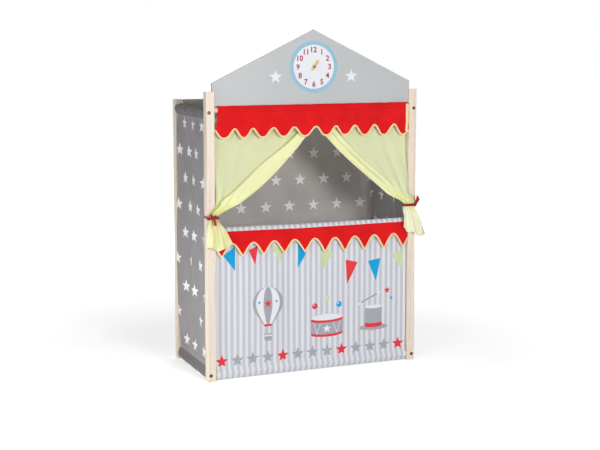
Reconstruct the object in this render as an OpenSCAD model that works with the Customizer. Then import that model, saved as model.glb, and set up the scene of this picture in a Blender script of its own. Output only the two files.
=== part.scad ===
// Puppet theatre: a knock-down frame of posts and round rails, a gable board with a
// play clock, and loose cloths that hang on the rails by sleeves.
// Millimetres. The origin is on the floor at the centre of the four posts, the stage
// faces -Y, and +Z is up.

/* [Frame] */
// Width over the posts
stage_w = 640; // [560:10:760]
// Depth over the posts
stage_d = 306; // [240:2:400]
// Height of the front posts
front_h = 800; // [770:5:900]
// Drop from the front posts' tops to the rear posts' tops
rear_drop = 32; // [20:2:60]
// Square section of the posts
post_t = 24; // [23:1:32]
// Radius on the long edges of the posts
post_edge = 1.5; // [0.5:0.5:4]

/* [Rails] */
// Diameter of the round rails
rail_d = 16; // [12:1:17]
// Height of the bottom rails' centres
bottom_rail_z = 18; // [12:1:40]
// Height of the counter rail's centre
counter_z = 408; // [340:4:440]
// Drop from the front posts' tops to the valance rail's centre
valance_rail_drop = 50; // [30:2:80]
// Drop from the rear posts' tops to the upper side rails' centres
side_rail_drop = 24; // [22:2:60]
// Drop from the counter rail's centre to the lower rear rail's centre
rear_low_drop = 48; // [30:2:120]
// Diameter of the curtain rod
curtain_rod_d = 10; // [6:1:10]
// Drop from the valance rail's centre to the curtain rod's centre
curtain_rod_drop = 28; // [20:1:36]
// Depth of the blind bores that the front rails stand in
rail_seat = 8; // [4:1:9]

/* [Gable] */
// Thickness of the gable board
gable_t = 6; // [4:0.5:8]
// Depth of the grooves that hold the board
gable_seat = 4; // [2:0.5:6]
// Rise of the eaves over the front posts
eaves_rise = 23; // [10:1:60]
// Rise of the tip over the front posts
apex_rise = 168; // [120:4:240]

/* [Play clock] */
// Rise of the clock's centre over the front posts
clock_rise = 65; // [50:1:90]
// Length of the hand from its pivot to its tip
hand_l = 24; // [16:1:50]
// Length of the hand behind its pivot
hand_tail = 12; // [8:1:24]
// Width of the hand at its pivot
hand_w = 9; // [8:0.5:14]
// Thickness of the hand
hand_t = 3; // [2:0.5:6]
// Clockwise turn of the hand from upright
hand_turn = 35; // [0:5:355]
// Diameter of the pivot screw
pivot_d = 4.5; // [3:0.5:5.5]

/* [Fasteners] */
// Diameter of the frame bolts
bolt_d = 6; // [4:0.5:6]
// Diameter of the bolt heads
bolt_head_d = 9.6; // [8:0.2:10.4]
// Height of the bolt heads
bolt_head_h = 5; // [3:0.5:7]
// Length of the threaded inserts in the rail ends
insert_l = 20; // [10:1:30]
// Diameter of the rear rail's screws
screw_d = 4; // [3:0.5:5]
// Depth of those screws in the rail
screw_bite = 36; // [20:2:60]

/* [Cloth] */
// Thickness of the hanging cloths with their seams
cloth_t = 1.2; // [0.8:0.1:1.6]
// Height of a sleeve below its rail's centre
sleeve_drop = 24; // [18:1:32]
// Gap between a cloth's edge and the post beside it
edge_gap = 3; // [2:0.5:8]

/* [Valances] */
// Number of arches along each valance
arches = 9; // [5:1:11]
// Height of the top valance from the rail's top to its lobes
top_valance_h = 90; // [70:2:130]
// Depth of the top valance's arches
top_arch = 30; // [15:1:40]
// Height of the counter valance
counter_valance_h = 67; // [50:1:100]
// Depth of the counter valance's arches
counter_arch = 35; // [15:1:42]

/* [Curtains] */
// Number of folds in each curtain
folds = 6; // [4:1:7]
// Depth of the folds to each side of the cloth
fold_depth = 5; // [2:0.5:5.5]
// Sag of the left curtain's leading edge
bow_left = 1.7; // [1:0.05:2.4]
// Sag of the right curtain's leading edge
bow_right = 1.15; // [1:0.05:2.4]
// Rise of the ties over the counter rail's centre
tie_rise = 51; // [40:1:80]
// Width of a curtain where its tie holds it
neck_w = 34; // [28:1:40]
// Length of the left tail below its tie
tail_l_left = 92; // [70:1:110]
// Length of the right tail below its tie
tail_l_right = 101; // [70:1:110]
// Width of the left tail at its hem
tail_w_left = 77; // [60:1:84]
// Width of the right tail at its hem
tail_w_right = 80; // [60:1:90]
// Rise of the right tail's hem where it hangs in front of its post
tail_lift = 25; // [0:1:40]
// Width of the ribbon
ribbon_w = 8; // [5:0.5:12]

/* [Hidden] */
$fn = 48;

// Colours
post_wood = "#f0e4d2";
rail_wood = "#e6d3b4";
board_grey = "#c9cccc";
steel_dark = "#4a423a";
steel_bright = "#b9bcbf";
brass = "#c9a45a";
stripe_cloth = "#dcdfe6";
red_cloth = "#e0161c";
lime_cloth = "#dfe6b0";
star_cloth = "#8d8a88";
ribbon_red = "#b0121a";

// Clearances
fit = 0.05;        // radial play of a pin or rail in its bore
thread_fit = 0.05; // radial play of a bolt in its insert
seat_gap = 0.5;    // end play of a rail in its blind bore
sew_gap = 0.3;     // air between a cloth and what it lies on
axial_play = 0.1;  // play of the hand on each side
over = 1;          // how far a cut runs past a face

// Posts
post_x = stage_w / 2 - post_t / 2;
post_y = stage_d / 2 - post_t / 2;
inner_x = stage_w / 2 - post_t;
front_y = -stage_d / 2;
rear_y = stage_d / 2;
rear_h = front_h - rear_drop;
rail_r = rail_d / 2;

// Rails
flush = 0.5;                                // set-back of the side rails from the posts' outer faces
side_rail_x = stage_w / 2 - rail_r - flush;
side_rail_l = stage_d - 2 * post_t;
side_rail_z = rear_h - side_rail_drop;
front_rail_y = front_y + rail_r + 1.5;      // the front rails stand just behind the front faces
valance_rail_z = front_h - valance_rail_drop;
curtain_rod_z = valance_rail_z - curtain_rod_drop;
curtain_rod_y = front_y + post_t - curtain_rod_d / 2 - 2.5;
rear_rail_top_z = rear_h - rail_r - 2;
rear_rail_low_z = counter_z - rear_low_drop;
rear_rail_y = rear_y - post_t / 2;

// Bolts
bolt_sink = bolt_head_h + 0.5;                        // the heads stay just under the wood
bolt_reach = post_t - bolt_sink + insert_l + 2;       // the bolts end past their inserts
insert_r = bolt_d / 2 + 1.5;
insert_bore_depth = insert_l + 4;
hole_play = 0.2;
head_play = 0.4;

// Gable board and clock
gable_y = front_y + post_t / 2;
gable_foot = valance_rail_z + rail_r + 3;
gable_half = inner_x + gable_seat - 0.1;
groove_half = inner_x + gable_seat + 0.2;
groove_t = gable_t + 0.2;
clock_z = front_h + clock_rise;
washer_t = 1;
pivot_r = pivot_d / 2;
hand_y = gable_y - gable_t / 2 - washer_t - axial_play - hand_t / 2;
screw_head_y = hand_y - hand_t / 2 - axial_play;
nut_y = gable_y + gable_t / 2 + washer_t;

// Sleeves round the rails
sleeve_in = rail_r + sew_gap;
sleeve_out = sleeve_in + cloth_t;
cloth_half = inner_x - edge_gap;
foot_room = max(bottom_rail_z - 1.5, sleeve_out + cloth_t);   // the lower sleeves hang this far

// Valances
valance_gap = 1.5;
top_valance_y = front_rail_y - sleeve_out + cloth_t / 2;
top_valance_top = valance_rail_z + sleeve_out;
top_valance_hem = valance_rail_z + rail_r - top_valance_h;
counter_valance_y = front_rail_y - sleeve_out - sew_gap - cloth_t / 2;
counter_valance_hem = counter_z + 1 - counter_valance_h;
valance_half = inner_x - valance_gap;
pitch = 2 * valance_half / (arches + 0.5);
bays = round(arches * 6 + 3);

// Curtains, seen from the centre outwards
curtain_gap = 1.5;                        // air between a curtain, its post and the centre
tie_z = counter_z + tie_rise;
curtain_top = curtain_rod_z - curtain_rod_d / 2 - sew_gap;
trail_x = inner_x - curtain_gap;
header_w = trail_x - 2 * curtain_gap;
neck_out = stage_w / 2 - 8;               // the neck lies over the post's face
neck_y = front_y - fold_depth - cloth_t / 2 - curtain_gap;
neck_h = ribbon_w / 2 + 0.7;              // the cloth is straight this far over and under the tie
tail_y = neck_y - 6;                      // the tails hang a little further forward
round_post = 60;                          // the cloth turns out over the post this far over the tie
hem_band = 0.32;                          // share of the width that bulges along the edge
hem_bulge = 3;
beside_post = 16;                         // the right tail lies back this far beside its post
tail_round = 10;                          // rise of the tails' corners

// Smooth step from 0 to 1 as t goes from a to b
function ease(t, a, b) = let (s = min(1, max(0, (t - a) / (b - a)))) s * s * (3 - 2 * s);
function mix(a, b, t) = a + (b - a) * t;
function flat(rows) = [for (row = rows) for (p = row) p];

// Closed sheet between two grids of points of the same size
module sheet(front, back) {
    m = len(front);
    n = len(front[0]);
    b = m * n;
    faces = concat(
        [for (i = [0:m - 2]) for (j = [0:n - 2])
            [i * n + j, i * n + j + 1, (i + 1) * n + j + 1]],
        [for (i = [0:m - 2]) for (j = [0:n - 2])
            [i * n + j, (i + 1) * n + j + 1, (i + 1) * n + j]],
        [for (i = [0:m - 2]) for (j = [0:n - 2])
            [b + i * n + j, b + (i + 1) * n + j + 1, b + i * n + j + 1]],
        [for (i = [0:m - 2]) for (j = [0:n - 2])
            [b + i * n + j, b + (i + 1) * n + j, b + (i + 1) * n + j + 1]],
        [for (j = [0:n - 2]) [j, b + j, b + j + 1]],
        [for (j = [0:n - 2]) [j, b + j + 1, j + 1]],
        [for (j = [0:n - 2]) let (a = (m - 1) * n + j) [a, a + 1, b + a + 1]],
        [for (j = [0:n - 2]) let (a = (m - 1) * n + j) [a, b + a + 1, b + a]],
        [for (i = [0:m - 2]) let (a = i * n) [a, a + n, b + a + n]],
        [for (i = [0:m - 2]) let (a = i * n) [a, b + a + n, b + a]],
        [for (i = [0:m - 2]) let (a = i * n + n - 1) [a, b + a, b + a + n]],
        [for (i = [0:m - 2]) let (a = i * n + n - 1) [a, b + a + n, a + n]]
    );
    polyhedron(points = concat(flat(front), flat(back)), faces = faces, convexity = 12);
}

// Rods along X and Y, centred on the point given
module rod_x(d, l, y, z) {
    translate([0, y, z]) rotate([0, 90, 0]) cylinder(d = d, h = l, center = true);
}

module rod_y(r, from_y, to_y, x, z) {
    translate([x, from_y, z]) rotate([-90, 0, 0]) cylinder(r = r, h = to_y - from_y);
}

// Post, with a small radius on its long edges
module post_body(h) {
    flat_w = post_t - 2 * post_edge;
    linear_extrude(height = h) {
        square([post_t, flat_w], center = true);
        square([flat_w, post_t], center = true);
        for (sx = [-1, 1], sy = [-1, 1])
            translate([sx * flat_w / 2, sy * flat_w / 2]) circle(r = post_edge);
    }
}

// Bolt hole through a post along Y, counterbored from the outer face at face_y
module bolt_hole(x, z, face_y) {
    dir = face_y < 0 ? 1 : -1;
    y_in = face_y + dir * (post_t + over);
    y_sink = face_y + dir * bolt_sink;
    y_out = face_y - dir * over;
    rod_y(bolt_d / 2 + hole_play, min(y_out, y_in), max(y_out, y_in), x, z);
    rod_y(bolt_head_d / 2 + head_play, min(y_out, y_sink), max(y_out, y_sink), x, z);
}

// Front post on the side given by s
module front_post(s) {
    color(post_wood) difference() {
        translate([s * post_x, -post_y, 0]) post_body(front_h);
        for (z = [bottom_rail_z, side_rail_z]) bolt_hole(s * side_rail_x, z, front_y);
        for (z = [bottom_rail_z, counter_z, valance_rail_z])
            rod_x(rail_d + 2 * fit, 2 * (inner_x + rail_seat), front_rail_y, z);
        rod_x(curtain_rod_d + 2 * fit, 2 * (inner_x + rail_seat), curtain_rod_y, curtain_rod_z);
        translate([0, gable_y, (gable_foot + front_h + over) / 2])
            cube([2 * groove_half, groove_t, front_h + over - gable_foot], center = true);
    }
}

// Rear post on the side given by s
module rear_post(s) {
    color(post_wood) difference() {
        translate([s * post_x, post_y, 0]) post_body(rear_h);
        for (z = [bottom_rail_z, side_rail_z]) bolt_hole(s * side_rail_x, z, rear_y);
        for (z = [rear_rail_low_z, rear_rail_top_z])
            translate([s * (stage_w / 2 + 0.01), rear_rail_y, z])
                rotate([0, -s * 90, 0]) wood_screw_shape(screw_bite + post_t, hole_play);
    }
}

// Countersunk screw from its head's face along +Z, grown by play for its hole
module wood_screw_shape(l, play) {
    r = screw_d / 2 + play;
    head = screw_d + play;
    rotate_extrude() polygon([[0, 0], [head, 0], [head, 0.4], [r, head - r + 0.4], [r, l], [0, l]]);
}

module side_rail(s, z) {
    color(rail_wood) difference() {
        rod_y(rail_r, -side_rail_l / 2, side_rail_l / 2, s * side_rail_x, z);
        for (e = [-1, 1]) {
            inner = e * (side_rail_l / 2 - insert_bore_depth);
            outer = e * (side_rail_l / 2 + over);
            rod_y(insert_r + 0.02, min(inner, outer), max(inner, outer), s * side_rail_x, z);
        }
    }
}

// Rail that stands in the blind bores of the front posts
module front_rail(d, y, z) {
    color(rail_wood) rod_x(d, 2 * (inner_x + rail_seat - seat_gap), y, z);
}

// Rail between the rear posts, with pilot holes in its ends
module rear_rail(z) {
    color(rail_wood) difference() {
        rod_x(rail_d, 2 * inner_x, rear_rail_y, z);
        for (s = [-1, 1])
            translate([s * (inner_x + over), rear_rail_y, z]) rotate([0, -s * 90, 0])
                cylinder(r = screw_d / 2 + fit, h = screw_bite + over + 2);
    }
}

module rear_rail_screws() {
    color(steel_bright) for (s = [-1, 1], z = [rear_rail_low_z, rear_rail_top_z])
        translate([s * stage_w / 2, rear_rail_y, z]) rotate([0, -s * 90, 0])
            difference() {
                wood_screw_shape(post_t + screw_bite, 0);
                for (a = [0, 90]) rotate(a)
                    translate([0, 0, 0.6]) cube([screw_d, 0.9, 1.8], center = true);
            }
}

// Bolt from its head's face along +Y, with a hexagonal socket
module bolt() {
    difference() {
        rotate([-90, 0, 0]) union() {
            cylinder(d = bolt_head_d, h = bolt_head_h);
            cylinder(r = bolt_d / 2 - thread_fit, h = bolt_head_h + bolt_reach);
        }
        translate([0, -over, 0]) rotate([-90, 0, 0])
            cylinder(r = bolt_d * 0.48, h = over + bolt_head_h * 0.6, $fn = 6);
    }
}

module front_bolts() {
    color(steel_dark) for (s = [-1, 1], z = [bottom_rail_z, side_rail_z])
        translate([s * side_rail_x, front_y + bolt_sink - bolt_head_h, z]) bolt();
}

module rear_bolts() {
    color(steel_dark) for (s = [-1, 1], z = [bottom_rail_z, side_rail_z])
        translate([s * side_rail_x, rear_y - bolt_sink + bolt_head_h, z]) rotate(180) bolt();
}

module rail_inserts() {
    color(brass) for (s = [-1, 1], z = [bottom_rail_z, side_rail_z], e = [-1, 1]) {
        inner = e * (side_rail_l / 2 - insert_l);
        outer = e * side_rail_l / 2;
        difference() {
            rod_y(insert_r, min(inner, outer), max(inner, outer), s * side_rail_x, z);
            rod_y(bolt_d / 2, -side_rail_l, side_rail_l, s * side_rail_x, z);
        }
    }
}

// Gable board with the pivot's hole
module gable_board() {
    eaves = front_h + eaves_rise;
    tip = front_h + apex_rise;
    color(board_grey) difference() {
        translate([0, gable_y, 0]) rotate([90, 0, 0])
            linear_extrude(height = gable_t, center = true)
                polygon([[-gable_half, gable_foot], [gable_half, gable_foot],
                         [gable_half, eaves], [0, tip], [-gable_half, eaves]]);
        rod_y(pivot_r + 0.1, gable_y - gable_t, gable_y + gable_t, 0, clock_z);
    }
}

// Hand with a round tail, a hub and a pointed blade
module clock_hand() {
    tail_r = hand_w * 0.36;
    color(rail_wood) translate([0, hand_y, clock_z]) rotate([0, hand_turn, 0]) difference() {
        rotate([90, 0, 0]) linear_extrude(height = hand_t, center = true) {
            circle(d = hand_w);
            translate([0, tail_r - hand_tail]) circle(r = tail_r);
            polygon([[-tail_r, tail_r - hand_tail], [tail_r, tail_r - hand_tail],
                     [hand_w * 0.45, 0], [hand_w * 0.4, hand_l * 0.7], [0, hand_l],
                     [-hand_w * 0.4, hand_l * 0.7], [-hand_w * 0.45, 0]]);
        }
        rod_y(pivot_r + fit, -hand_t, hand_t, 0, 0);
    }
}

module clock_screw() {
    head_h = 2.4;
    head_r = pivot_r * 1.55;
    end_y = nut_y + 3.5;
    color(steel_dark) difference() {
        union() {
            rod_y(pivot_r, screw_head_y - 0.01, end_y, 0, clock_z);
            translate([0, screw_head_y, clock_z]) rotate([90, 0, 0]) rotate_extrude()
                polygon([[0, 0], [head_r, 0], [head_r, head_h * 0.4], [head_r * 0.8, head_h * 0.85],
                         [head_r * 0.45, head_h], [0, head_h]]);
        }
        translate([0, screw_head_y - head_h, clock_z]) cube([head_r * 1.3, 1.6, 0.9], center = true);
    }
}

module clock_washers() {
    color(steel_bright) for (y = [gable_y - gable_t / 2 - washer_t, gable_y + gable_t / 2])
        difference() {
            rod_y(pivot_r * 2.2, y, y + washer_t, 0, clock_z);
            rod_y(pivot_r + fit, y - over, y + washer_t + over, 0, clock_z);
        }
}

// Cap nut: a hexagon with a domed end
module clock_nut() {
    nut_r = pivot_r * 2;
    color(steel_bright) translate([0, nut_y, clock_z]) rotate([-90, 0, 0]) difference() {
        union() {
            cylinder(r = nut_r, h = 3, $fn = 6);
            translate([0, 0, 3]) rotate_extrude()
                polygon([[0, 0], [nut_r * 0.8, 0], [nut_r * 0.76, 1], [nut_r * 0.6, 2.2],
                         [nut_r * 0.35, 2.9], [0, 3.1]]);
        }
        translate([0, 0, -over]) cylinder(r = pivot_r + fit, h = over + 4);
    }
}

// Outline of a sleeve round a rail: a circle drawn to a point d below its centre
module drop(r, d) {
    a = asin(r / d);
    circle(r = r);
    polygon([[0, -d], [r * cos(a), -r * sin(a)], [0, 0], [-r * cos(a), -r * sin(a)]]);
}

module sleeve(d) {
    difference() {
        drop(sleeve_out, d + cloth_t * 2);
        drop(sleeve_in, d);
    }
}

// Cloth stretched between two rails, as a profile with sleeves at z = 0 and z = -fall
module two_sleeves(fall, foot_room) {
    reach = sleeve_drop - 6;
    sleeve(reach);
    translate([0, -fall]) difference() {
        union() {
            rotate(180) drop(sleeve_out, reach + cloth_t * 2);
            drop(sleeve_out, foot_room);
        }
        rotate(180) drop(sleeve_in, reach);
        drop(sleeve_in, foot_room - cloth_t * 1.4);
    }
    translate([-cloth_t / 2, reach - fall]) square([cloth_t, fall - 2 * reach]);
}

module front_cloth() {
    color(stripe_cloth) translate([-cloth_half, front_rail_y, counter_z]) rotate([90, 0, 90])
        linear_extrude(height = 2 * cloth_half) two_sleeves(counter_z - bottom_rail_z, foot_room);
}

module side_cloth(s) {
    half = side_rail_l / 2 - edge_gap;
    color(star_cloth) translate([s * side_rail_x, half, side_rail_z]) rotate([90, 0, 0])
        linear_extrude(height = 2 * half) two_sleeves(side_rail_z - bottom_rail_z, foot_room);
}

module back_cloth() {
    color(star_cloth) translate([-cloth_half, rear_rail_y, rear_rail_top_z]) rotate([90, 0, 90])
        linear_extrude(height = 2 * cloth_half)
            two_sleeves(rear_rail_top_z - rear_rail_low_z, foot_room);
}

// Hem of a valance at x: 0 at a lobe's tip, 1 at an arch's crown
function scallop(x, sharp) = pow((1 + cos(360 * x / pitch)) / 2, sharp);

function top_valance_point(i, j, m, side) = let (
    x = mix(-valance_half, valance_half, j / bays),
    hem = top_valance_hem + top_arch * scallop(x, 1.3),
    v = i / m)
    [x, top_valance_y + side * cloth_t / 2 + 1.6 * v * (1 - cos(720 * x / pitch / 2)),
     mix(valance_rail_z - 4, hem, v)];

module top_valance() {
    m = 3;
    rod_end = 8;   // the rail shows beside the sleeve's left end
    color(red_cloth) {
        translate([rod_end - valance_half, front_rail_y, valance_rail_z]) rotate([90, 0, 90])
            linear_extrude(height = 2 * valance_half - rod_end) front_sleeve(rail_r + 9);
        sheet([for (i = [0:m]) [for (j = [0:bays]) top_valance_point(i, j, m, -1)]],
              [for (i = [0:m]) [for (j = [0:bays]) top_valance_point(i, j, m, 1)]]);
    }
}

// Sleeve with a straight front: its back turns under the rail to a seam d below the centre
module front_drop(r, d) {
    e = [-r, -d] / norm([r, d]);
    back = 2 * (-r * e[0]) * e - [-r, 0];
    circle(r = r);
    polygon([[-r, 0], [-r, -d], back, [0, 0]]);
}

module front_sleeve(d) {
    difference() {
        front_drop(sleeve_out, d + cloth_t * 2);
        front_drop(sleeve_in, d);
    }
}

function counter_valance_point(i, j, m, side) = let (
    x = mix(-valance_half, valance_half, j / bays),
    hem = counter_valance_hem + counter_arch * scallop(x, 0.6),
    v = i / m)
    [x, counter_valance_y + side * cloth_t / 2 - 1.2 * v * (1 - cos(360 * x / pitch)) / 2,
     mix(counter_valance_hem + counter_valance_h, hem, v)];

module counter_valance() {
    m = 2;
    color(red_cloth)
        sheet([for (i = [0:m]) [for (j = [0:bays]) counter_valance_point(i, j, m, -1)]],
              [for (i = [0:m]) [for (j = [0:bays]) counter_valance_point(i, j, m, 1)]]);
}

// Curtain: u runs from its post to its leading edge, v from the rod to the tie.
// The cloth comes forward, then turns out over the post just above the tie.
function trail_at(z) = mix(trail_x, neck_out, ease(tie_z + round_post - z, 8, round_post - 8));
function drawn_y(z) =
    mix(curtain_rod_y, neck_y, ease(tie_z + round_post - z, -40, 5));
function curtain_width(v, bow) = mix(header_w, neck_w, pow(v, bow));
function fold_wave(u) = cos(360 * folds * u);

function curtain_point(u, i, m, bow, side) = let (
    v = min(1, i / (m - 1)),
    z = i < m ? mix(curtain_top, tie_z + neck_h, v) : tie_z + 0.2,
    w = curtain_width(v, bow),
    bulge = hem_bulge * ease(1 - u, hem_band, hem_band / 6) * sin(180 * v))
    [trail_at(z) - u * w,
     drawn_y(z) + side * cloth_t / 2 + fold_depth * mix(0.15, 1, v * v) * fold_wave(u) - bulge,
     z];

module curtain(bow) {
    n = folds * 6;
    m = 15;
    sheet([for (i = [0:m]) [for (j = [0:n]) curtain_point(1 - j / n, i, m, bow, -1)]],
          [for (i = [0:m]) [for (j = [0:n]) curtain_point(1 - j / n, i, m, bow, 1)]]);
    difference() {
        rod_x_from(curtain_gap, trail_x, curtain_rod_d + 2 * sew_gap + 2 * cloth_t);
        rod_x_from(0, trail_x + over, curtain_rod_d + 2 * sew_gap);
    }
}

// Sleeve on the curtain rod from x = a to x = b
module rod_x_from(a, b, d) {
    translate([a, curtain_rod_y, curtain_rod_z]) rotate([0, 90, 0]) cylinder(d = d, h = b - a);
}

module curtain_left() {
    color(lime_cloth) mirror([1, 0, 0]) curtain(bow_left);
}

module curtain_right() {
    color(lime_cloth) curtain(bow_right);
}

// Tail below a tie: it fans from the neck to a rounded hem, which lift raises towards its
// inner corner. Beyond the post's outer face the cloth lies back beside the post.
function tail_point(u, i, m, l, inner_hem, w, lift, side) = let (
    v = max(0, (i - 1) / (m - 1)),
    top_x = neck_out - u * neck_w,
    hem_x = inner_hem + (1 - u) * w,
    x = mix(top_x, hem_x, sin(90 * v)),
    hem = tie_z - l + tail_round * pow(2 * u - 1, 2) + lift * ease(u, 0.1, 0.7),
    beside = beside_post * ease(x, stage_w / 2 + 4, stage_w / 2 + 34))
    [x, mix(neck_y, tail_y, ease(v, 0, 0.5)) + beside + side * cloth_t / 2
        + fold_depth * mix(1, 0.8, v) * fold_wave(u),
     i == 0 ? tie_z - 0.2 : mix(tie_z - neck_h, hem, v)];

module tail(l, inner_hem, w, lift) {
    n = folds * 4;
    m = 8;
    front = [for (i = [0:m]) [for (j = [0:n])
        tail_point(1 - j / n, i, m, l, inner_hem, w, lift, -1)]];
    back = [for (i = [0:m]) [for (j = [0:n])
        tail_point(1 - j / n, i, m, l, inner_hem, w, lift, 1)]];
    sheet(front, back);
}

module curtain_tail_left() {
    color(lime_cloth) mirror([1, 0, 0])
        tail(tail_l_left, stage_w / 2 + 2 - tail_w_left, tail_w_left, 0);
}

module curtain_tail_right() {
    color(lime_cloth) tail(tail_l_right, inner_x - 16, tail_w_right, tail_lift);
}

// Ribbon round the post and the curtain's neck, for the side at +X
tie_line = [
    [stage_w / 2 + sew_gap, front_y - 4],
    [stage_w / 2 + sew_gap, front_y + post_t + sew_gap],
    [inner_x - sew_gap, front_y + post_t + sew_gap],
    [neck_out - neck_w - 1.5, neck_y + fold_depth + cloth_t],
    [neck_out - neck_w - 1.5, neck_y - fold_depth - cloth_t],
    [stage_w / 2 - 4, neck_y - fold_depth - cloth_t]
];

module tie_band() {
    translate([0, 0, tie_z - ribbon_w / 2]) linear_extrude(height = ribbon_w) difference() {
        offset(r = 1) polygon(tie_line);
        polygon(tie_line);
    }
}

// Knots, and their loose ends from the knot's centre
knot_r = ribbon_w * 0.55;
knot_y = neck_y - fold_depth - cloth_t - knot_r + 0.3;   // the knots sit in the bands' fronts
knot_left = [18 - stage_w / 2, knot_y, tie_z];
knot_right = [stage_w / 2 - 5, knot_y, tie_z];
ends_left = [[-16, 0, 9], [-24, 2, -4], [4, -0.5, -25]];
ends_right = [[12, 0, 26], [20, 2, 16]];
end_bend = 1;

module knot(at, ends) {
    half = ribbon_w * 0.7;
    translate(at) rotate([0, 90, 0]) rotate_extrude()
        polygon([[0, -half], [knot_r * 0.6, -half], [knot_r, -half * 0.5],
                 [knot_r, half * 0.5], [knot_r * 0.6, half], [0, half]]);
    for (e = ends) ribbon_end(at, e);
}

// Strip of ribbon from a knot along run
module ribbon_end(from, run) {
    n = 6;
    across = ribbon_w * 0.42 * [-run[2], 0, run[0]] / norm([run[0], run[2]]);
    thick = [0, 0.5, 0];
    line = [for (i = [0:n]) from + run * i / n - [0, end_bend * sin(180 * i / n), 0]];
    sheet([for (p = line) [p - across - thick, p + across - thick]],
          [for (p = line) [p - across + thick, p + across + thick]]);
}

module tie_left() {
    color(ribbon_red) {
        mirror([1, 0, 0]) tie_band();
        knot(knot_left, ends_left);
    }
}

module tie_right() {
    color(ribbon_red) {
        tie_band();
        knot(knot_right, ends_right);
    }
}

front_post(-1);  // front_post_left
front_post(1);  // front_post_right
rear_post(-1);  // rear_post_left
rear_post(1);  // rear_post_right
side_rail(-1, side_rail_z);  // side_rail_top_left
side_rail(1, side_rail_z);  // side_rail_top_right
side_rail(-1, bottom_rail_z);  // side_rail_bottom_left
side_rail(1, bottom_rail_z);  // side_rail_bottom_right
front_rail(rail_d, front_rail_y, valance_rail_z);  // valance_rail
front_rail(curtain_rod_d, curtain_rod_y, curtain_rod_z);  // curtain_rod
front_rail(rail_d, front_rail_y, counter_z);  // counter_rail
front_rail(rail_d, front_rail_y, bottom_rail_z);  // front_bottom_rail
rear_rail(rear_rail_top_z);  // rear_rail_top
rear_rail(rear_rail_low_z);  // rear_rail_low
gable_board();
clock_hand();
clock_screw();
clock_washers();
clock_nut();
front_bolts();
rear_bolts();
rail_inserts();
rear_rail_screws();
front_cloth();
counter_valance();
top_valance();
curtain_left();
curtain_right();
curtain_tail_left();
curtain_tail_right();
tie_left();
tie_right();
side_cloth(-1);  // side_cloth_left
side_cloth(1);  // side_cloth_right
back_cloth();
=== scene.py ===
"""Puppet theatre: a beech frame with a printed gable, a play clock, cloth walls and tied curtains.
Sizes are in millimetres and become metres when a mesh is made. The stage faces -Y."""
import math
from collections import namedtuple
import bmesh
import bpy
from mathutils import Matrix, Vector, noise


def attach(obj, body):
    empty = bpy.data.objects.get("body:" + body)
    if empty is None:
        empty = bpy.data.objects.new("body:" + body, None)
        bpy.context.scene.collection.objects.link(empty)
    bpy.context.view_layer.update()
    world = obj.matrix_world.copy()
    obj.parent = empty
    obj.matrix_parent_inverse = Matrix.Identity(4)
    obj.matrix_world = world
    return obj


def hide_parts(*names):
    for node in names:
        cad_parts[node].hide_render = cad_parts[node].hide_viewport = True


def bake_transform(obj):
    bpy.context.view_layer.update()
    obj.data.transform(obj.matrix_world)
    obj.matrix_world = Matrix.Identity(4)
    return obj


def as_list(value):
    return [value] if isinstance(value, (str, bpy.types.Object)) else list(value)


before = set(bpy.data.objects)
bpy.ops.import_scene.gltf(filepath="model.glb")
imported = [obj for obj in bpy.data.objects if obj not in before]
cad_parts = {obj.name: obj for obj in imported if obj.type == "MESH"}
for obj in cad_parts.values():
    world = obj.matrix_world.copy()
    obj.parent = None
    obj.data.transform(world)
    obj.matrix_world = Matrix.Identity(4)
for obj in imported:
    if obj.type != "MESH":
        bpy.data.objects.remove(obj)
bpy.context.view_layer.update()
scene = bpy.context.scene
MM = 0.001


# Small helpers

def linear(code):
    """sRGB hex to linear colour."""
    parts = [int(code[i:i + 2], 16) / 255 for i in (1, 3, 5)]
    return (*[c / 12.92 if c <= 0.04045 else ((c + 0.055) / 1.055) ** 2.4 for c in parts], 1.0)


def feed(tree, node, inputs):
    """Sets a node's inputs, a colour by its hex code, or links them to a socket or to another
    node's first output in use."""
    for name, value in inputs.items():
        if isinstance(value, str):
            value = linear(value)
        if isinstance(value, bpy.types.Node):
            value = next(out for out in value.outputs if out.enabled)
        if isinstance(value, bpy.types.NodeSocket):
            tree.links.new(value, node.inputs[name])
        else:
            node.inputs[name].default_value = value


def add(tree, kind, inputs=None, **settings):
    """One node, with its settings, and its inputs set or linked."""
    node = tree.nodes.new("ShaderNode" + kind)
    for name, value in settings.items():
        setattr(node, name, value)
    feed(tree, node, inputs or {})
    return node


def ease(t, a, b):
    """0 before a and 1 after b, with a soft start and end."""
    s = min(1.0, max(0.0, (t - a) / (b - a)))
    return s * s * (3 - 2 * s)


def mix(a, b, t):
    return a + (b - a) * t


def spread(a, b, count):
    """count even steps from a to b, with both ends."""
    return [mix(a, b, i / count) for i in range(count + 1)]


def wave(turns):
    """1 at every whole number of turns and -1 halfway."""
    return math.cos(2 * math.pi * turns)


def swell(t, middle, reach):
    """1 in the middle and fading softly to both sides."""
    return math.exp(-((t - middle) / reach) ** 2)


def ripple(a, b, seed):
    """Smooth noise, about -1 to 1."""
    return 2 * noise.noise(Vector((a, b, seed)))


def select_only(piece):
    bpy.ops.object.select_all(action="DESELECT")
    piece.select_set(True)
    bpy.context.view_layer.objects.active = piece


def smooth(piece, degrees=60):
    select_only(piece)
    bpy.ops.object.shade_smooth_by_angle(angle=math.radians(degrees))


def thicken(piece, thick):
    """Gives a sheet its wall, half to each side."""
    select_only(piece)
    wall = piece.modifiers.new("wall", "SOLIDIFY")
    wall.thickness = thick * MM
    wall.offset = 0
    bpy.ops.object.modifier_apply(modifier="wall")


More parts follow.
